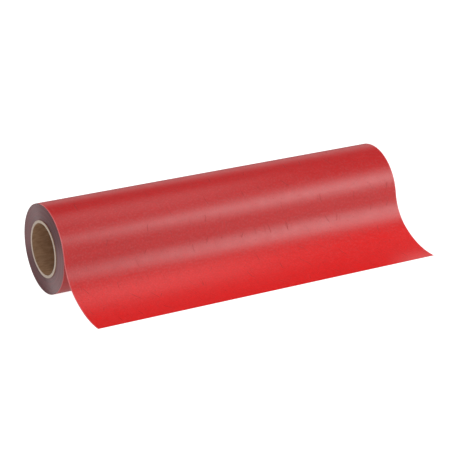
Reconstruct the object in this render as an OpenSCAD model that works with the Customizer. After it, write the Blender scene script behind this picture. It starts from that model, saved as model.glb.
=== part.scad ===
// Roll of sign vinyl on a paper core, with a loose tail that runs down and out over the bench.
// X is the roll's axis, the tail leaves toward -Y, +Z is up and the origin is the bore's centre.
// One long web is wound on the core. It is a red vinyl film stuck to a paper liner.

/* [Core] */
// Diameter of the bore that a mandrel goes through
core_bore_d = 76.2; // [70:0.1:90]
// Thickness of one spiral-wound paper ply
ply_t = 0.5; // [0.4:0.05:0.6]
// Number of plies in the core's wall
ply_count = 8; // [6:1:10]
// How far the core stands out of the wound web at each end
core_proud = 1; // [0.5:0.1:3]

/* [Web] */
// Width of the film and of its liner
web_w = 564; // [300:1:760]
// Diameter over the last wrap
roll_d = 133; // [125:0.5:140]
// Thickness of the film with its adhesive
film_t = 0.2; // [0.2:0.05:0.3]
// Thickness of the liner
liner_t = 0.2; // [0.2:0.05:0.3]
// Angle from the tail's side of the top, round the back, that the last wrap covers
last_wrap_sweep = 331; // [325:1:333]

/* [Start tape] */
// Width of the tape strip that holds the web's start to the core
tape_w = 25; // [12:1:38]
// Thickness of the tape strip
tape_t = 0.2; // [0.2:0.05:0.3]
// How far the tape stops short of each edge of the web
tape_inset = 6; // [2:1:20]
// Where the tape sits, as an angle from the top toward the tail
tape_angle = 140; // [0:5:355]

/* [Tail] */
// Where the tail leaves the roll, as an angle from the top toward the tail
leave_angle = 68.5; // [67:0.5:69]
// Radius of the slack stretch that hangs off the roll
slack_r = 82; // [76:1:86]
// Angle that the slack stretch turns through
slack_sweep = 14; // [12:0.5:15]
// Radius of the bend that turns the tail outward
bend_r = 70; // [66:1:76]
// Angle that the bend turns through
bend_sweep = 46; // [44:0.5:47]
// Width of the strip at the lip's start where the film stays stuck to its liner
bonded_w = 24; // [16:1:40]
// Gap between neighbouring stretches at a hinge line
hinge_gap = 0.3; // [0.3:0.05:0.5]
// Clearance under the tail where it leaves the roll, and under the film that peels
sheet_clear = 0.3; // [0.3:0.05:0.4]

/* [Hidden] */
// Fine enough that a preview of the curved sheets shows no flats
$fn = 180;
web_t = film_t + liner_t;
bore_r = core_bore_d / 2;
core_r = bore_r + ply_count * ply_t;
core_len = web_w + 2 * core_proud;
roll_r = roll_d / 2;
pack_r = roll_r - web_t;
// The tail's three stretches are arcs that meet with the same slope. Each radius and each
// point lies on the film's outer face. An angle gives a stretch's slope below level.
tail_r = roll_r + sheet_clear;
slack_end = leave_angle + slack_sweep;
bend_end = slack_end - bend_sweep;
leave_yz = tail_r * normal_yz(leave_angle);
slack_yz = leave_yz - slack_r * normal_yz(leave_angle);
flex_yz = slack_yz + slack_r * normal_yz(slack_end);
bend_yz = flex_yz + bend_r * normal_yz(slack_end);
curl_yz = bend_yz - bend_r * normal_yz(bend_end);
// The lip comes down level, with its liner on the surface that the roll lies on
lip_r = (curl_yz[1] + roll_r - web_t) / (1 - cos(bend_end));
lip_yz = curl_yz + lip_r * normal_yz(bend_end);
peel_start = bend_end - angle_of(bonded_w, lip_r);
// Colours of the materials
film_red = [0.78, 0.12, 0.13];
liner_white = [0.93, 0.92, 0.90];
pack_mauve = [0.46, 0.33, 0.34];
kraft = [0.62, 0.50, 0.38];
tape_clear = [0.86, 0.84, 0.76];

// Outward direction on the roll at an angle from the top toward the tail
function normal_yz(a) = [-sin(a), cos(a)];

// Angle that takes up a length on an arc
function angle_of(length, r) = length / r * 180 / PI;

// Curved sheet along X between two radii, from one angle on, about the centre yz
module sheet_arc(inner_r, outer_r, from, sweep, length, yz = [0, 0])
    translate([0, yz[0], yz[1]])
        rotate([0, 90, 0])
            rotate_extrude(angle = sweep, start = from + 180)
                translate([inner_r, -length / 2])
                    square([outer_r - inner_r, length]);

// Full tube along X
module tube(inner_r, outer_r, length)
    rotate([0, 90, 0])
        difference() {
            cylinder(r = outer_r, h = length, center = true);
            cylinder(r = inner_r, h = length + 2, center = true);
        }

// One layer of the slack stretch, which curves with the roll. Depth counts from the film's face.
module slack_layer(depth, thickness) {
    gap = angle_of(hinge_gap, slack_r);
    sheet_arc(slack_r - depth - thickness, slack_r - depth,
        leave_angle + gap, slack_sweep - gap, web_w, slack_yz);
}

// One layer of a stretch that curves away from the roll, between two slopes
module outward_layer(r, yz, depth, thickness, from_slope, to_slope) {
    gap = angle_of(hinge_gap, r);
    sheet_arc(r + depth, r + depth + thickness,
        to_slope + 180, from_slope - to_slope - gap, web_w, yz);
}

// Paper ply of the core, counted outward from the one that lines the bore
module core_ply(i) {
    color(kraft)
        tube(bore_r + (i - 1) * ply_t, bore_r + i * ply_t, core_len);
}

// Tape strip on the core, under the web's start
module start_tape() {
    sweep = angle_of(tape_w, core_r);
    color(tape_clear)
        sheet_arc(core_r, core_r + tape_t, tape_angle, sweep, web_w - 2 * tape_inset);
}

// All the tight inner wraps, with the shallow step that the tape leaves in the first one
module wound_pack() {
    sweep = angle_of(tape_w, core_r);
    color(pack_mauve)
        difference() {
            tube(core_r, pack_r, web_w);
            sheet_arc(core_r - 1, core_r + tape_t, tape_angle, sweep, web_w - 2 * tape_inset);
        }
}

// Liner of the last wrap, over the top and round the back to the front of the underside
module last_wrap_liner() {
    color(liner_white)
        sheet_arc(pack_r, pack_r + liner_t, leave_angle - last_wrap_sweep, last_wrap_sweep, web_w);
}

// Film of the last wrap, which is the roll's outer face
module last_wrap_film() {
    color(film_red)
        sheet_arc(pack_r + liner_t, roll_r, leave_angle - last_wrap_sweep, last_wrap_sweep, web_w);
}

// Liner of the slack stretch
module tail_root_liner() {
    color(liner_white) slack_layer(film_t, liner_t);
}

// Film of the slack stretch
module tail_root_film() {
    color(film_red) slack_layer(0, film_t);
}

// Liner of the bend
module tail_bend_liner() {
    color(liner_white) outward_layer(bend_r, bend_yz, film_t, liner_t, slack_end, bend_end);
}

// Film of the bend
module tail_bend_film() {
    color(film_red) outward_layer(bend_r, bend_yz, 0, film_t, slack_end, bend_end);
}

// Liner of the lip, which lands on the bench
module tail_lip_liner() {
    color(liner_white) outward_layer(lip_r, lip_yz, film_t, liner_t, bend_end, 0);
}

// Film of the lip's first strip, which stays on its liner
module tail_lip_film() {
    color(film_red) outward_layer(lip_r, lip_yz, 0, film_t, bend_end, peel_start);
}

// Film of the rest of the lip, which peels off its liner from the web's cut end
module peel_film() {
    color(film_red) outward_layer(lip_r, lip_yz, -sheet_clear, film_t, peel_start, 0);
}

for (i = [1 : ply_count])
    core_ply(i);
start_tape();
wound_pack();
last_wrap_liner();
last_wrap_film();
tail_root_liner();
tail_root_film();
tail_bend_liner();
tail_bend_film();
tail_lip_liner();
tail_lip_film();
peel_film();
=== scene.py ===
# Roll of red sign vinyl on a paper core, in the order in which the roll is wound.
# X is the roll's axis, the tail leaves toward -Y and +Z is up. Lengths are in metres.
import math
import random

import bpy
from mathutils import Matrix, Vector, noise


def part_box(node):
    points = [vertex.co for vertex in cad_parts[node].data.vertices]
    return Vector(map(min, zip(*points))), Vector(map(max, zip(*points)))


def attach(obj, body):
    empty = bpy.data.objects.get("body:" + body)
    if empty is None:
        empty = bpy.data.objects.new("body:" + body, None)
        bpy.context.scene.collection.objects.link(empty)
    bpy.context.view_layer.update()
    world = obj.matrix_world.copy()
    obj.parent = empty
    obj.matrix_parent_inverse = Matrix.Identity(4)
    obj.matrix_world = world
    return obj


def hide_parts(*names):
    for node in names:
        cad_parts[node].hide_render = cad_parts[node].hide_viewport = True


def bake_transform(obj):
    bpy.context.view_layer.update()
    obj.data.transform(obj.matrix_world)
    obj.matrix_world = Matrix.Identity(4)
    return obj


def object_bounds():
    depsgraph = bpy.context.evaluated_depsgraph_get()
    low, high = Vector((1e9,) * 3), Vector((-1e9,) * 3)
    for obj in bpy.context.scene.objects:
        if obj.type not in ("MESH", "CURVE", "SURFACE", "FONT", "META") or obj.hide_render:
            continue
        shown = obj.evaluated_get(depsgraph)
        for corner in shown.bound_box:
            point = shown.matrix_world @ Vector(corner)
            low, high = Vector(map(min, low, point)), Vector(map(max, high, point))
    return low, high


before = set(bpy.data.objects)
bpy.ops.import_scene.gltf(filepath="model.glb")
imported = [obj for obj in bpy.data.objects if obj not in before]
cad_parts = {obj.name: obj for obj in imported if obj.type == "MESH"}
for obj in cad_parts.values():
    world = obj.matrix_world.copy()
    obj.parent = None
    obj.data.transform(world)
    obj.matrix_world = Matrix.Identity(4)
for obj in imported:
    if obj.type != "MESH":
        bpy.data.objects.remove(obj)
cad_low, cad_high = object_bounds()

# ---- Core ---------------------------------------------------------------------------------------
# A tube wound from eight strips of brown paper. Each ply runs in a screw line round the axis with
# its edges butted, its seams away from those below, and is glued down. The tube is sawn to length,
# so its ends show pale cut fibre.
ply_count = 8
inner_ply_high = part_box("core_ply_1")[1]
next_ply_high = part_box("core_ply_2")[1]
ply_step = next_ply_high.z - inner_ply_high.z
bore_r = inner_ply_high.z - ply_step
core_half = inner_ply_high.x
glue_line = 0.00002
strip_lead = 0.113
butt_gap = 0.0004
seam_step = 0.37
turn_steps = 96


def deselect_all():
    if bpy.context.object and bpy.context.object.mode == "EDIT":
        bpy.ops.object.mode_set(mode="OBJECT")
    bpy.ops.object.select_all(action="DESELECT")


def apply_all(piece):
    for modifier in list(piece.modifiers):
        bpy.ops.object.modifier_apply(modifier=modifier.name)


def face_outward_from_axis(piece):
    face = piece.data.polygons[0]
    outward = Vector((0, face.center.y, face.center.z))
    if face.normal.dot(outward) < 0:
        bpy.ops.object.mode_set(mode="EDIT")
        bpy.ops.mesh.select_all(action="SELECT")
        bpy.ops.mesh.flip_normals()
        bpy.ops.object.mode_set(mode="OBJECT")


def select_points(piece, wanted):
    """Leaves edit mode on, with only the wanted points selected."""
    bpy.ops.object.mode_set(mode="EDIT")
    bpy.ops.mesh.select_mode(type="VERT")
    bpy.ops.mesh.select_all(action="DESELECT")
    bpy.ops.object.mode_set(mode="OBJECT")
    for vertex in piece.data.vertices:
        vertex.select = wanted(vertex)
    bpy.ops.object.mode_set(mode="EDIT")


def wind_ply(number):
    inner_r = bore_r + (number - 1) * ply_step + glue_line
    strip = strip_lead - butt_gap
    turns = math.ceil(2 * core_half / strip_lead) + 2
    first_x = -core_half - strip_lead * (1 + number * seam_step % 1)
    deselect_all()
    bpy.ops.mesh.primitive_plane_add(size=strip, location=(first_x + strip / 2, -strip / 2, 0))
    ply = bpy.context.object
    ply.name = f"paper_ply_{number}"
    bpy.ops.object.transform_apply(location=True, rotation=False, scale=False)
    # One edge of the strip is kept, and is carried round the axis and along it
    select_points(ply, lambda vertex: vertex.co.y < -strip / 2)
    bpy.ops.mesh.delete(type="VERT")
    bpy.ops.mesh.select_all(action="SELECT")
    bpy.ops.transform.translate(value=(0, 0, inner_r))
    bpy.ops.object.mode_set(mode="OBJECT")
    winding = ply.modifiers.new("winding", "SCREW")
    winding.axis = "X"
    winding.angle = math.tau
    winding.iterations = turns
    winding.screw_offset = strip_lead
    winding.steps = turn_steps
    winding.render_steps = turn_steps
    winding.use_merge_vertices = False
    apply_all(ply)
    bpy.ops.object.mode_set(mode="EDIT")
    for side in (-1, 1):
        bpy.ops.mesh.select_all(action="SELECT")
        bpy.ops.mesh.bisect(plane_co=(side * core_half, 0, 0), plane_no=(side, 0, 0), clear_outer=True)
    bpy.ops.mesh.select_all(action="SELECT")
    bpy.ops.mesh.remove_doubles(threshold=0.000001)
    bpy.ops.mesh.normals_make_consistent(inside=False)
    bpy.ops.object.mode_set(mode="OBJECT")
    face_outward_from_axis(ply)
    wall = ply.modifiers.new("wall", "SOLIDIFY")
    wall.thickness = ply_step - 2 * glue_line
    wall.offset = 1
    worn = ply.modifiers.new("sawn_edges", "BEVEL")
    worn.width = 0.00006
    worn.segments = 1
    worn.limit_method = "ANGLE"
    worn.angle_limit = math.radians(60)
    apply_all(ply)
    bpy.ops.object.shade_smooth_by_angle(angle=math.radians(30))
    return ply


def maths(tree, operation, *values):
    node = tree.nodes.new("ShaderNodeMath")
    node.operation = operation
    for place, value in enumerate(values):
        if isinstance(value, bpy.types.NodeSocket):
            tree.links.new(value, node.inputs[place])
        else:
            node.inputs[place].default_value = value
    return node.outputs[0]


def spread(tree, value, low, high, to_low, to_high):
    node = tree.nodes.new("ShaderNodeMapRange")
    node.interpolation_type = "SMOOTHSTEP"
    tree.links.new(value, node.inputs["Value"])
    node.inputs["From Min"].default_value = low
    node.inputs["From Max"].default_value = high
    node.inputs["To Min"].default_value = to_low
    node.inputs["To Max"].default_value = to_high
    return node.outputs["Result"]


def mixed_colour(tree, share, first, second):
    node = tree.nodes.new("ShaderNodeMix")
    node.data_type = "RGBA"
    if isinstance(share, bpy.types.NodeSocket):
        tree.links.new(share, node.inputs["Factor"])
    else:
        node.inputs["Factor"].default_value = share
    for label, value in (("A", first), ("B", second)):
        socket = [s for s in node.inputs if s.name == label and s.type == "RGBA"][0]
        if isinstance(value, bpy.types.NodeSocket):
            tree.links.new(value, socket)
        else:
            socket.default_value = (*value, 1)
    return [s for s in node.outputs if s.type == "RGBA"][0]


def stretched(tree, vector, scale):
    node = tree.nodes.new("ShaderNodeMapping")
    node.inputs["Scale"].default_value = scale
    tree.links.new(vector, node.inputs["Vector"])
    return node.outputs["Vector"]


def patches(tree, vector, size, detail=2):
    node = tree.nodes.new("ShaderNodeTexNoise")
    node.inputs["Scale"].default_value = 1 / size
    node.inputs["Detail"].default_value = detail
    tree.links.new(vector, node.inputs["Vector"])
    return node.outputs["Fac"]


def start_material(name, roughness):
    material = bpy.data.materials.new(name)
    material.use_nodes = True
    tree = material.node_tree
    surface = tree.nodes["Principled BSDF"]
    surface.inputs["Roughness"].default_value = roughness
    place = tree.nodes.new("ShaderNodeTexCoord")
    return material, tree, surface, place


def raise_surface(tree, surface, height, distance):
    bump = tree.nodes.new("ShaderNodeBump")
    bump.inputs["Strength"].default_value = 1
    bump.inputs["Distance"].default_value = distance
    tree.links.new(height, bump.inputs["Height"])
    tree.links.new(bump.outputs["Normal"], surface.inputs["Normal"])


def new_group(name, inputs, outputs):
    group = bpy.data.node_groups.new(name, "ShaderNodeTree")
    for label, kind in inputs:
        group.interface.new_socket(name=label, in_out="INPUT", socket_type=kind)
    for label, kind in outputs:
        group.interface.new_socket(name=label, in_out="OUTPUT", socket_type=kind)
    return group, group.nodes.new("NodeGroupInput"), group.nodes.new("NodeGroupOutput")


def place_group(tree, group, vector, **values):
    node = tree.nodes.new("ShaderNodeGroup")
    node.node_tree = group
    tree.links.new(vector, node.inputs["Vector"])
    for label, value in values.items():
        node.inputs[label].default_value = value
    return node


# Soft cloudy marks with fine grain on them, which every sheet and the core's paper have
grain_group, grain_in, grain_out = new_group(
    "cloud_and_grain",
    [("Vector", "NodeSocketVector"),
     ("Cloud size", "NodeSocketFloat"), ("Grain size", "NodeSocketFloat"),
     ("Cloud", "NodeSocketFloat"), ("Grain", "NodeSocketFloat")],
    [("Shade", "NodeSocketFloat"), ("Height", "NodeSocketFloat")],
)
grain_parts = []
for size_label, share_label in (("Cloud size", "Cloud"), ("Grain size", "Grain")):
    pattern = grain_group.nodes.new("ShaderNodeTexNoise")
    pattern.inputs["Detail"].default_value = 3
    grain_group.links.new(grain_in.outputs["Vector"], pattern.inputs["Vector"])
    grain_group.links.new(
        maths(grain_group, "DIVIDE", 1.0, grain_in.outputs[size_label]), pattern.inputs["Scale"]
    )
    centred = maths(grain_group, "MULTIPLY_ADD", pattern.outputs["Fac"], 2.0, -1.0)
    grain_parts.append(maths(grain_group, "MULTIPLY", centred, grain_in.outputs[share_label]))
both_grains = maths(grain_group, "ADD", *grain_parts)
grain_group.links.new(maths(grain_group, "ADD", both_grains, 1.0), grain_out.inputs["Shade"])
grain_group.links.new(both_grains, grain_out.inputs["Height"])


def place_grain(tree, vector, cloud_size, grain_size, cloud, grain):
    values = {"Cloud size": cloud_size, "Grain size": grain_size, "Cloud": cloud, "Grain": grain}
    return place_group(tree, grain_group, vector, **values)


def shaded(tree, colour, shade):
    node = tree.nodes.new("ShaderNodeVectorMath")
    node.operation = "SCALE"
    if isinstance(colour, bpy.types.NodeSocket):
        tree.links.new(colour, node.inputs[0])
    else:
        node.inputs[0].default_value = colour
    tree.links.new(shade, node.inputs["Scale"])
    return node.outputs[0]


kraft, tree, surface, place = start_material("kraft_paper", 0.72)
at = place.outputs["Object"]
fibres = patches(tree, stretched(tree, at, (0.35, 1, 1)), 0.0035, 5)
grain = place_grain(tree, at, cloud_size=0.02, grain_size=0.0009, cloud=0.16, grain=0.22)
pale_fibres = spread(tree, fibres, 0.3, 0.7, 0, 1)
brown = mixed_colour(tree, pale_fibres, (0.40, 0.222, 0.120), (0.52, 0.315, 0.185))
along_axis = tree.nodes.new("ShaderNodeSeparateXYZ")
tree.links.new(at, along_axis.inputs[0])
from_middle = maths(tree, "ABSOLUTE", along_axis.outputs["X"])
sawn = spread(tree, from_middle, core_half - 0.0002, core_half - 0.00008, 0, 1)
cut_fibre = mixed_colour(tree, sawn, brown, (0.73, 0.60, 0.50))
tree.links.new(shaded(tree, cut_fibre, grain.outputs["Shade"]), surface.inputs["Base Color"])
raise_surface(tree, surface, grain.outputs["Height"], 0.00012)

for number in range(1, ply_count + 1):
    ply = wind_ply(number)
    ply.data.materials.append(kraft)
    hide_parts(f"core_ply_{number}")
    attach(ply, "roll")

# ---- Start tape ---------------------------------------------------------------------------------
# A strip of clear packing tape along the core, which holds the web's first edge while the roll is
# wound. It keeps the shape of the drawing. It has fine lines along its length and a yellowish gum.
tape, tree, surface, place = start_material("clear_tape", 0.22)
at = place.outputs["Object"]
lines = patches(tree, stretched(tree, at, (0.04, 1, 1)), 0.0016, 3)
pale_lines = spread(tree, lines, 0.35, 0.65, 0, 1)
gum = mixed_colour(tree, pale_lines, (0.62, 0.53, 0.36), (0.74, 0.67, 0.50))
tree.links.new(gum, surface.inputs["Base Color"])
tree.links.new(spread(tree, lines, 0.3, 0.7, 0.16, 0.34), surface.inputs["Roughness"])
raise_surface(tree, surface, lines, 0.00005)
start_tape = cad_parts["start_tape"]
start_tape.data.materials.clear()
start_tape.data.materials.append(tape)

# ---- Film and liner -----------------------------------------------------------------------------
# The web is a calendered red vinyl film, 80 microns with its clear adhesive, on a white release
# liner of 120 microns. Both are cut to the same width. The film's face is satin, and handling has
# left faint short creases and specks in it. A pale highlight is painted along its cut edges.
web_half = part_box("last_wrap_film")[1].x
roll_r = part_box("last_wrap_film")[1].z
film_t = 0.00008
liner_t = 0.00012
web_t = film_t + liner_t
hair_gap = 0.000004

# Short curved creases, one in some of the cells that share out the sheet
crease_group, crease_in, crease_out = new_group(
    "short_creases",
    [("Vector", "NodeSocketVector"), ("Spacing", "NodeSocketFloat"), ("Share", "NodeSocketFloat"),
     ("Width", "NodeSocketFloat")],
    [("Mask", "NodeSocketFloat")],
)
cell_place = crease_group.nodes.new("ShaderNodeVectorMath")
cell_place.operation = "SCALE"
crease_group.links.new(crease_in.outputs["Vector"], cell_place.inputs[0])
crease_group.links.new(
    maths(crease_group, "DIVIDE", 1.0, crease_in.outputs["Spacing"]), cell_place.inputs["Scale"]
)
cells = crease_group.nodes.new("ShaderNodeTexVoronoi")
cells.voronoi_dimensions = "2D"
cells.inputs["Scale"].default_value = 1
crease_group.links.new(cell_place.outputs[0], cells.inputs["Vector"])
from_centre = crease_group.nodes.new("ShaderNodeVectorMath")
from_centre.operation = "SUBTRACT"
crease_group.links.new(cell_place.outputs[0], from_centre.inputs[0])
crease_group.links.new(cells.outputs["Position"], from_centre.inputs[1])
cell_chance = crease_group.nodes.new("ShaderNodeSeparateColor")
crease_group.links.new(cells.outputs["Color"], cell_chance.inputs[0])
turned = crease_group.nodes.new("ShaderNodeVectorRotate")
turned.rotation_type = "Z_AXIS"
crease_group.links.new(from_centre.outputs[0], turned.inputs["Vector"])
crease_group.links.new(
    maths(crease_group, "MULTIPLY_ADD", cell_chance.outputs["Red"], 1.6, -0.8), turned.inputs["Angle"]
)
in_cell = crease_group.nodes.new("ShaderNodeSeparateXYZ")
crease_group.links.new(turned.outputs[0], in_cell.inputs[0])
bow = maths(crease_group, "MULTIPLY", in_cell.outputs["Y"], in_cell.outputs["Y"])
bow_size = maths(crease_group, "MULTIPLY_ADD", cell_chance.outputs["Blue"], 1.6, -0.8)
bowed = maths(crease_group, "MULTIPLY_ADD", bow, bow_size, in_cell.outputs["X"])
aside = maths(crease_group, "ABSOLUTE", bowed)
aside_share = maths(
    crease_group, "DIVIDE", maths(crease_group, "MULTIPLY", aside, crease_in.outputs["Spacing"]),
    crease_in.outputs["Width"],
)
narrow = spread(crease_group, aside_share, 0.1, 1.0, 1, 0)
run_length = maths(crease_group, "ABSOLUTE", in_cell.outputs["Y"])
reach = maths(crease_group, "MULTIPLY_ADD", cell_chance.outputs["Red"], 0.24, 0.14)
short = spread(crease_group, maths(crease_group, "DIVIDE", run_length, reach), 0.4, 1.0, 1, 0)
rank = maths(crease_group, "DIVIDE", cell_chance.outputs["Green"], crease_in.outputs["Share"])
chosen = spread(crease_group, rank, 0.25, 1.0, 1, 0)
crease_mask = maths(crease_group, "MULTIPLY", maths(crease_group, "MULTIPLY", narrow, short), chosen)
crease_group.links.new(crease_mask, crease_out.inputs["Mask"])


film_face, tree, surface, place = start_material("satin_red_film", 0.4)
surface.inputs["Specular IOR Level"].default_value = 0.95
# A sheet's UV holds metres across the web and metres along it
at = place.outputs["UV"]
on_sheet = tree.nodes.new("ShaderNodeSeparateXYZ")
tree.links.new(at, on_sheet.inputs[0])
from_middle = maths(tree, "ABSOLUTE", on_sheet.outputs["X"])
grain = place_grain(tree, at, cloud_size=0.011, grain_size=0.0026, cloud=0.09, grain=0.17)
creases = place_group(tree, crease_group, at, Spacing=0.032, Share=0.75, Width=0.0006)
along_scuffs = stretched(tree, at, (1.0, 0.55, 1))
scuffs = place_group(tree, crease_group, along_scuffs, Spacing=0.017, Share=0.60, Width=0.0004)
specks = tree.nodes.new("ShaderNodeTexVoronoi")
specks.voronoi_dimensions = "2D"
specks.inputs["Scale"].default_value = 1 / 0.011
tree.links.new(at, specks.inputs["Vector"])
speck = spread(tree, specks.outputs["Distance"], 0.02, 0.06, 1, 0)
speck_chance = tree.nodes.new("ShaderNodeSeparateColor")
tree.links.new(specks.outputs["Color"], speck_chance.inputs[0])
some_specks = maths(tree, "MULTIPLY", speck, maths(tree, "LESS_THAN", speck_chance.outputs["Red"], 0.3))
marks = maths(tree, "ADD", creases.outputs["Mask"], maths(tree, "MULTIPLY", scuffs.outputs["Mask"], 0.6))
marks = maths(tree, "MAXIMUM", marks, some_specks)
# The marks darken the red: in the creases and scuffs this is painted shade, in the specks their own dark
# colour
painted_crease_shade_and_dark_specks = maths(tree, "MULTIPLY_ADD", marks, -0.38, 1.0)
shade = maths(tree, "MULTIPLY", grain.outputs["Shade"], painted_crease_shade_and_dark_specks)
# Past the roll the web is one layer; the light that comes up through its white liner there is painted
# in, as a brighter red
painted_backlight_share = spread(tree, on_sheet.outputs["Y"], 0.036, 0.088, 0, 1)
fine = patches(tree, at, 0.0030, 4)
dust = maths(tree, "MULTIPLY", spread(tree, fine, 0.46, 0.66, 0, 1), 0.021)
red_with_painted_backlight = mixed_colour(tree, painted_backlight_share, (0.625, 0.003, 0.004), (0.890, 0.001, 0.001))
dusty_red = mixed_colour(tree, dust, red_with_painted_backlight, (1.0, 1.0, 1.0))
red = shaded(tree, dusty_red, shade)
# A painted pale highlight runs along each cut edge of the film's face
painted_edge_highlight = spread(tree, from_middle, web_half - 0.0018, web_half - 0.0006, 0, 0.8)
tree.links.new(mixed_colour(tree, painted_edge_highlight, red, (0.82, 0.150, 0.160)), surface.inputs["Base Color"])
satin = patches(tree, stretched(tree, at, (1, 0.6, 1)), 0.02, 3)
smooth = spread(tree, satin, 0.25, 0.75, 0.355, 0.395)
rough = maths(tree, "MULTIPLY_ADD", spread(tree, fine, 0.3, 0.7, -1, 1), 0.045, smooth)
rough = maths(tree, "MULTIPLY_ADD", marks, 0.22, rough)
tree.links.new(rough, surface.inputs["Roughness"])
face_height = maths(tree, "MULTIPLY_ADD", marks, -0.7, grain.outputs["Height"])
raise_surface(tree, surface, face_height, 0.00016)

adhesive, tree, surface, place = start_material("clear_adhesive_on_red", 0.18)
at = place.outputs["UV"]
grain = place_grain(tree, at, cloud_size=0.006, grain_size=0.0007, cloud=0.08, grain=0.1)
tree.links.new(shaded(tree, (0.40, 0.05, 0.055), grain.outputs["Shade"]), surface.inputs["Base Color"])
raise_surface(tree, surface, grain.outputs["Height"], 0.00008)

film_edge, tree, surface, place = start_material("film_cut_edge", 0.5)
grain = place_grain(
    tree, place.outputs["Object"], cloud_size=0.008, grain_size=0.0005, cloud=0.08, grain=0.1,
)
tree.links.new(shaded(tree, (0.62, 0.13, 0.14), grain.outputs["Shade"]), surface.inputs["Base Color"])

release_face, tree, surface, place = start_material("liner_release_face", 0.3)
at = place.outputs["UV"]
grain = place_grain(tree, at, cloud_size=0.009, grain_size=0.001, cloud=0.03, grain=0.04)
creases = place_group(tree, crease_group, at, Spacing=0.05, Share=0.5, Width=0.0005)
# The liner's creases are darkened with painted shade
painted_crease_shade_on_liner = maths(tree, "MULTIPLY_ADD", creases.outputs["Mask"], -0.1, 1.0)
shade = maths(tree, "MULTIPLY", grain.outputs["Shade"], painted_crease_shade_on_liner)
tree.links.new(shaded(tree, (0.80, 0.79, 0.77), shade), surface.inputs["Base Color"])
raise_surface(tree, surface, grain.outputs["Height"], 0.00004)

liner_back, tree, surface, place = start_material("liner_paper_back", 0.55)
at = place.outputs["UV"]
grain = place_grain(tree, at, cloud_size=0.005, grain_size=0.0006, cloud=0.04, grain=0.07)
tree.links.new(shaded(tree, (0.76, 0.745, 0.72), grain.outputs["Shade"]), surface.inputs["Base Color"])
raise_surface(tree, surface, grain.outputs["Height"], 0.00006)

liner_edge, tree, surface, place = start_material("liner_cut_edge", 0.7)
grain = place_grain(
    tree, place.outputs["Object"], cloud_size=0.006, grain_size=0.0004, cloud=0.08, grain=0.12,
)
tree.links.new(shaded(tree, (0.62, 0.45, 0.44), grain.outputs["Shade"]), surface.inputs["Base Color"])

# ---- Wound pack ---------------------------------------------------------------------------------
# All the tight inner wraps. On the ends their cut edges lie side by side, red film and white liner
# in turn, with a few groups of wraps that stand a hair out of line. The outside is film.
core_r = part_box("core_ply_8")[1].z
pack_gap = 0.00001
pack_r = roll_r - 2 * web_t - pack_gap
recess_depth = 0.00022
recess_inset = 0.005
wrap_group = 0.0004
new_group_chance = 0.22
least_inset = 0.00002
most_inset = 0.00026
ragged = 0.00002
pack_steps = 192
winder = random.Random(11)


def extrude_to(here, there):
    step = (there[0] - here[0], 0, there[1] - here[1])
    bpy.ops.mesh.extrude_vertices_move(TRANSFORM_OT_translate={"value": step})
    return there


def end_line(side):
    ring_count = round((pack_r - core_r) / wrap_group)
    inset = 0.0001
    line = []
    for ring in range(ring_count + 1):
        r = core_r + (pack_r - core_r) * ring / ring_count
        if winder.random() < new_group_chance:
            inset = winder.uniform(least_inset, most_inset)
        wobble = winder.uniform(-ragged, ragged)
        line.append((side * (web_half - max(0.0, inset + wobble)), r))
    return line


left_line = end_line(-1)
right_line = list(reversed(end_line(1)))
# A shallow recess round the core leaves the start tape its room
over_tape = core_r + recess_depth
recess = [
    (web_half - recess_inset, core_r), (web_half - recess_inset, over_tape),
    (recess_inset - web_half, over_tape), (recess_inset - web_half, core_r),
]
outline = left_line + right_line + recess
deselect_all()
starter = 0.01
bpy.ops.mesh.primitive_plane_add(size=starter, location=(0, 0, 0))
pack = bpy.context.object
pack.name = "wound_wraps"
select_points(pack, lambda vertex: vertex.index > 0)
bpy.ops.mesh.delete(type="VERT")
bpy.ops.mesh.select_all(action="SELECT")
bpy.ops.transform.translate(value=(outline[0][0] + starter / 2, starter / 2, outline[0][1]))
here = outline[0]
for there in outline[1:] + outline[:1]:
    here = extrude_to(here, there)
bpy.ops.mesh.select_all(action="SELECT")
bpy.ops.mesh.remove_doubles(threshold=0.000001)
bpy.ops.mesh.select_all(action="SELECT")
bpy.ops.mesh.spin(steps=pack_steps, angle=math.tau, center=(0, 0, 0), axis=(1, 0, 0))
bpy.ops.mesh.select_all(action="SELECT")
bpy.ops.mesh.remove_doubles(threshold=0.000002)
bpy.ops.mesh.normals_make_consistent(inside=False)
bpy.ops.object.mode_set(mode="OBJECT")
bpy.ops.object.shade_smooth_by_angle(angle=math.radians(50))

wound_edges, tree, surface, place = start_material("wound_edges", 0.42)
surface.inputs["Anisotropic"].default_value = 0.95
surface.inputs["IOR"].default_value = 1.6
surface.inputs["Specular IOR Level"].default_value = 1.0
surface.inputs["Anisotropic Rotation"].default_value = 0.25
round_axis = tree.nodes.new("ShaderNodeTangent")
round_axis.direction_type = "RADIAL"
round_axis.axis = "X"
tree.links.new(round_axis.outputs["Tangent"], surface.inputs["Tangent"])
at = place.outputs["Object"]
crosswise = stretched(tree, at, (0, 1, 1))
reach = tree.nodes.new("ShaderNodeVectorMath")
reach.operation = "LENGTH"
tree.links.new(crosswise, reach.inputs[0])
radius = reach.outputs["Value"]
as_vector = tree.nodes.new("ShaderNodeCombineXYZ")
tree.links.new(radius, as_vector.inputs["X"])
wraps = maths(tree, "PINGPONG", maths(tree, "DIVIDE", radius, web_t), 0.5)
liner_share = spread(tree, wraps, 0.12, 0.34, 0, 1)
wide_bands = patches(tree, as_vector.outputs[0], 0.0045, 2)
thin_bands = patches(tree, as_vector.outputs[0], 0.0007, 1)
smears = place_grain(tree, at, cloud_size=0.02, grain_size=0.002, cloud=0.10, grain=0.07)
edge_colour = mixed_colour(tree, liner_share, (0.132, 0.010, 0.013), (0.182, 0.027, 0.032))
wide_shade = spread(tree, wide_bands, 0.3, 0.7, 0.84, 1.16)
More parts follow.
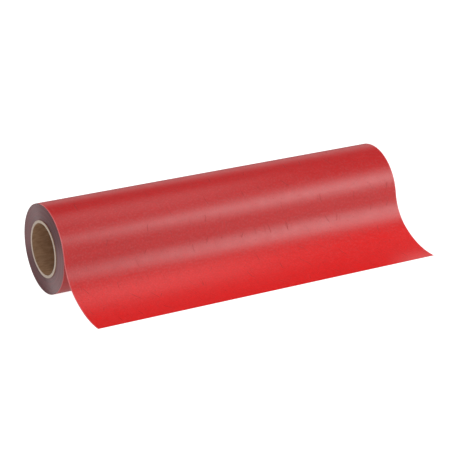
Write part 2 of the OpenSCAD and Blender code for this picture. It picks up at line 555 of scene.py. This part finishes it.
thin_shade = spread(tree, thin_bands, 0.3, 0.7, 0.93, 1.07)
band_shade = maths(tree, "MULTIPLY", wide_shade, thin_shade)
band_shade = maths(tree, "MULTIPLY", band_shade, smears.outputs["Shade"])
tree.links.new(shaded(tree, edge_colour, band_shade), surface.inputs["Base Color"])
raise_surface(tree, surface, thin_bands, 0.00008)

pack.data.materials.append(wound_edges)
pack.data.materials.append(film_face)
flat_uv = pack.data.uv_layers.new(name="UVMap")
for face in pack.data.polygons:
    outside = abs(face.normal.x) < 0.5 and math.hypot(face.center.y, face.center.z) > pack_r - 0.001
    face.material_index = 1 if outside else 0
    for corner in face.loop_indices:
        point = pack.data.vertices[pack.data.loops[corner].vertex_index].co
        round_r = math.atan2(point.y, point.z) * pack_r
        flat_uv.data[corner].uv = (point.x, round_r)
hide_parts("wound_pack")
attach(pack, "roll")

# ---- Last wrap ----------------------------------------------------------------------------------
# The outermost turn of the web, film over liner. The web spirals, so the turn starts one thickness
# in and comes out to the roll's full radius where the tail leaves it. Its two sheets are cut flat
# and laid on the web's line, and stop behind the top, where the tail's first sheets go on.
leave_angle = math.radians(68.5)
leave_lift = 0.0003
lift_sweep = math.radians(18)
slack_r = 0.082
slack_sweep = math.radians(14)
slack_length = slack_r * slack_sweep
slack_slope = leave_angle + slack_sweep
bend_r = 0.070
bend_sweep = math.radians(46)
bend_length = bend_r * bend_sweep
bend_slope = slack_slope - bend_sweep
bench_z = cad_low.z


def outward(angle):
    return Vector((0, -math.sin(angle), math.cos(angle)))


leave_point = (roll_r + leave_lift) * outward(leave_angle)
slack_centre = leave_point - slack_r * outward(leave_angle)
flex_point = slack_centre + slack_r * outward(slack_slope)
bend_centre = flex_point + bend_r * outward(slack_slope)
curl_point = bend_centre - bend_r * outward(bend_slope)
# The lip comes down level, with its liner on the bench
lip_r = (curl_point.z - bench_z - web_t) / (1 - math.cos(bend_slope))
lip_centre = curl_point + lip_r * outward(bend_slope)
lip_length = lip_r * bend_slope
tail_length = slack_length + bend_length + lip_length


def web_line(distance):
    """The film's face and the web's slope. Distance counts from where the tail leaves the roll."""
    if distance <= 0:
        angle = leave_angle + distance / roll_r
        rise = min(1.0, max(0.0, 1 + distance / (roll_r * lift_sweep)))
        lift = leave_lift * rise * rise * (3 - 2 * rise)
        spiral = web_t * distance / (math.tau * roll_r)
        return (roll_r + spiral + lift) * outward(angle), angle
    if distance <= slack_length:
        angle = leave_angle + distance / slack_r
        return slack_centre + slack_r * outward(angle), angle
    if distance <= slack_length + bend_length:
        angle = slack_slope - (distance - slack_length) / bend_r
        return bend_centre - bend_r * outward(angle), angle
    angle = bend_slope - (distance - slack_length - bend_length) / lip_r
    return lip_centre - lip_r * outward(angle), angle


def ripple(across, distance):
    """How far handling has bent the web out of its clean line."""
    past_roll = min(1.0, max(0.0, distance / 0.03))
    before_cut = min(1.0, max(0.0, (tail_length - distance) / 0.05))
    free = past_roll * before_cut
    height = 0.00004 + 0.0002 * free
    # On the roll the wraps below hold the web, so there it can only stand out
    if distance < 0:
        return height * abs(noise.noise(Vector((across / 0.09, distance / 0.07, 3.1))))
    return height * noise.noise(Vector((across / 0.11, distance / 0.06, 3.1)))


def lay_sheet(name, start, end, depth, thickness, materials):
    across_count = 56
    row_length = 0.0017
    along_count = max(8, round((end - start) / row_length))
    short_row = 0.00015
    deselect_all()
    bpy.ops.mesh.primitive_grid_add(x_subdivisions=across_count, y_subdivisions=along_count, size=2)
    strip = bpy.context.object
    strip.name = name
    mesh = strip.data
    step = 2 / along_count
    flat = {}
    for vertex in mesh.vertices:
        share = (vertex.co.y + 1) / 2
        row = round((vertex.co.y + 1) / step)
        distance = start + share * (end - start)
        # A short first and last row keep the shading straight across the join with the next sheet
        if row == 1:
            distance = start + short_row
        if row == along_count - 1:
            distance = end - short_row
        flat[vertex.index] = (vertex.co.x * web_half, distance)
    sheet_uv = mesh.uv_layers.active
    for loop in mesh.loops:
        sheet_uv.data[loop.index].uv = flat[loop.vertex_index]
    for vertex in mesh.vertices:
        across, distance = flat[vertex.index]
        point, slope = web_line(distance)
        point = point + outward(slope) * (ripple(across, distance) - depth)
        vertex.co = Vector((across, point.y, point.z))
    bpy.ops.object.mode_set(mode="EDIT")
    bpy.ops.mesh.select_all(action="SELECT")
    bpy.ops.mesh.flip_normals()
    bpy.ops.object.mode_set(mode="OBJECT")
    for material in materials:
        mesh.materials.append(material)
    wall = strip.modifiers.new("thickness", "SOLIDIFY")
    wall.thickness = thickness
    wall.offset = -1
    wall.material_offset = 1
    wall.material_offset_rim = 2
    apply_all(strip)
    bpy.ops.object.shade_smooth_by_angle(angle=math.radians(30))
    return strip


def lay_film(name, start, end):
    faces = [film_face, adhesive, film_edge]
    return lay_sheet(name, start, end, 0, film_t - hair_gap, faces)


def lay_liner(name, start, end):
    faces = [release_face, liner_back, liner_edge]
    return lay_sheet(name, start, end, film_t, liner_t, faces)


start_gap = 0.0005
behind_top = math.radians(-30)
wrap_start = -math.tau * roll_r + start_gap
wrap_end = behind_top * roll_r - leave_angle * roll_r

wrap_liner = lay_liner("wrap_liner", wrap_start, wrap_end)
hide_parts("last_wrap_liner")
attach(wrap_liner, "roll")

wrap_film = lay_film("wrap_film", wrap_start, wrap_end)
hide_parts("last_wrap_film")
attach(wrap_film, "roll")

# ---- Tail ---------------------------------------------------------------------------------------
# The loose end of the same web. It comes over the top of the roll, hangs slack off its front, bends
# outward and lies down on the bench. It is laid in lengths, each meeting the next end to end.
run_end = 0.010
bend_end = 0.048
lift_from = 0.0
lift_to = 0.010
flex_from = 0.010
flex_to = 0.034
bonded_strip = 0.024
peel_from = slack_length + bend_length + bonded_strip
lip_end = peel_from - 0.010


def bend_between(strip):
    """The strip's placement is baked into its mesh."""
    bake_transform(strip)


lengths = [
    ("run", wrap_end, run_end, "roll", "tail_root", lift_from, lift_to, "stretched"),
    ("bend", run_end, bend_end, "tail_root", "tail_bend", flex_from, flex_to, "hung"),
]
for part, start, end, first_body, second_body, turn_from, turn_to, held in lengths:
    liner = lay_liner(f"{part}_liner", start, end)
    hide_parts(f"{second_body}_liner")
    bend_between(liner)
    film = lay_film(f"{part}_film", start, end)
    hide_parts(f"{second_body}_film")
    bend_between(film)

lip_liner = lay_liner("lip_liner", bend_end, tail_length)
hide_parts("tail_lip_liner")
bend_between(lip_liner)

lip_film = lay_film("lip_film", bend_end, lip_end)
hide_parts("tail_lip_film")
bend_between(lip_film)

# The film's last length, up to the web's cut end, is a sheet of its own
peel_film = lay_film("peeling_film", lip_end, tail_length)
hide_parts("peel_film")
bend_between(peel_film)

# ---- Bench and studio ---------------------------------------------------------------------------
# A plain white lit bench, a soft box in front on the right, a white card behind, a small box over the
# left end and a bright even room. The film's satin face shows the lamps and the bench, not the room.
deselect_all()
bpy.ops.mesh.primitive_circle_add(vertices=64, radius=9, fill_type="NGON", location=(0, 0, bench_z))
bench = bpy.context.object
bench.name = "bench"
bpy.ops.object.transform_apply(location=True, rotation=False, scale=False)
bench_white, tree, surface, place = start_material("white_bench", 0.9)
surface.inputs["Specular IOR Level"].default_value = 0
grain = place_grain(
    tree, place.outputs["Object"], cloud_size=0.5, grain_size=0.02, cloud=0.004, grain=0.004,
)
tree.links.new(shaded(tree, (0.36, 0.36, 0.36), grain.outputs["Shade"]), surface.inputs["Base Color"])
# The bench is lit from below. It's overexposed in the camera, and its brightest part, left of the
# roll, shows in the polished edges of the wound web.
seen_by = tree.nodes.new("ShaderNodeLightPath")
surface.inputs["Emission Color"].default_value = (1, 1, 1, 1)
on_bench = tree.nodes.new("ShaderNodeSeparateXYZ")
tree.links.new(place.outputs["Object"], on_bench.inputs[0])
left_part = spread(tree, on_bench.outputs["X"], -0.295, -0.285, 0.52, 0)
left_shine = maths(tree, "MULTIPLY", seen_by.outputs["Is Glossy Ray"], left_part)
front_part = spread(tree, on_bench.outputs["Y"], -0.02, 0.04, 0.42, 0)
front_shine = maths(tree, "MULTIPLY_ADD", seen_by.outputs["Is Glossy Ray"], front_part, left_shine)
lit = maths(tree, "MULTIPLY_ADD", seen_by.outputs["Is Diffuse Ray"], 0.34, front_shine)
glow = maths(tree, "MULTIPLY_ADD", seen_by.outputs["Is Camera Ray"], 1.0, lit)
tree.links.new(glow, surface.inputs["Emission Strength"])
bench.data.materials.append(bench_white)

room = bpy.data.worlds.new("room")
bpy.context.scene.world = room
room.use_nodes = True
room_tree = room.node_tree
room_tree.nodes.clear()
room_light = room_tree.nodes.new("ShaderNodeBackground")
ray = room_tree.nodes.new("ShaderNodeLightPath")
# The camera sees white walls, and the film's gloss a dark room
wall = maths(room_tree, "MULTIPLY_ADD", ray.outputs["Is Camera Ray"], 0.6, 0.84)
gloss = maths(room_tree, "MULTIPLY_ADD", ray.outputs["Is Glossy Ray"], -0.80, wall)
room_tree.links.new(gloss, room_light.inputs["Strength"])
room_out = room_tree.nodes.new("ShaderNodeOutputWorld")
room_tree.links.new(room_light.outputs[0], room_out.inputs["Surface"])


def soft_panel(name, aim, azimuth, elevation, distance, width, height, radiance):
    """A rectangular light that faces the aim. Azimuth counts from -Y toward +X."""
    turn = math.radians(azimuth)
    lift = math.radians(elevation)
    toward = Vector((math.sin(turn) * math.cos(lift), -math.cos(turn) * math.cos(lift), math.sin(lift)))
    lamp = bpy.data.lights.new(name, "AREA")
    lamp.shape = "RECTANGLE"
    lamp.size = width
    lamp.size_y = height
    lamp.energy = radiance * width * height * math.pi
    holder = bpy.data.objects.new(name, lamp)
    bpy.context.scene.collection.objects.link(holder)
    holder.location = aim + toward * distance
    holder.rotation_euler = toward.to_track_quat("Z", "Y").to_euler()
    return holder


soft_panel(
    "soft_box", aim=Vector((0, 0, 0)), azimuth=40, elevation=27, distance=2.4,
    width=1.5, height=1.05, radiance=3.05,
)
soft_panel(
    "white_card", aim=Vector((0, 0, 0)), azimuth=150, elevation=18.5, distance=3.0,
    width=3.4, height=1.4, radiance=0.58,
)
soft_panel(
    "top_box", aim=Vector((-0.31, -0.08, 0)), azimuth=85, elevation=60, distance=0.95,
    width=0.50, height=0.50, radiance=0.80,
)

camera_data = bpy.data.cameras.new("camera")
camera_data.sensor_width = 36
camera_data.lens = 150.4
camera = bpy.data.objects.new("camera", camera_data)
bpy.context.scene.collection.objects.link(camera)
camera_turn = math.radians(-29.857)
camera_lift = math.radians(18.485)
camera_roll = math.radians(-0.955)
look_at = Vector((0.02348, 0, -0.02508))
camera_distance = 2.8839
back = Vector((
    math.sin(camera_turn) * math.cos(camera_lift),
    -math.cos(camera_turn) * math.cos(camera_lift),
    math.sin(camera_lift),
))
level_right = Vector((math.cos(camera_turn), math.sin(camera_turn), 0))
level_up = back.cross(level_right)
right = math.cos(camera_roll) * level_right + math.sin(camera_roll) * level_up
up = math.cos(camera_roll) * level_up - math.sin(camera_roll) * level_right
camera.location = look_at + camera_distance * back
camera.rotation_mode = "QUATERNION"
axes = [right, up, back]
camera.rotation_quaternion = Matrix([[axis[row] for axis in axes] for row in range(3)]).to_quaternion()
camera_data.clip_end = 50
bpy.context.scene.camera = camera
bpy.context.scene.view_settings.view_transform = "Standard"
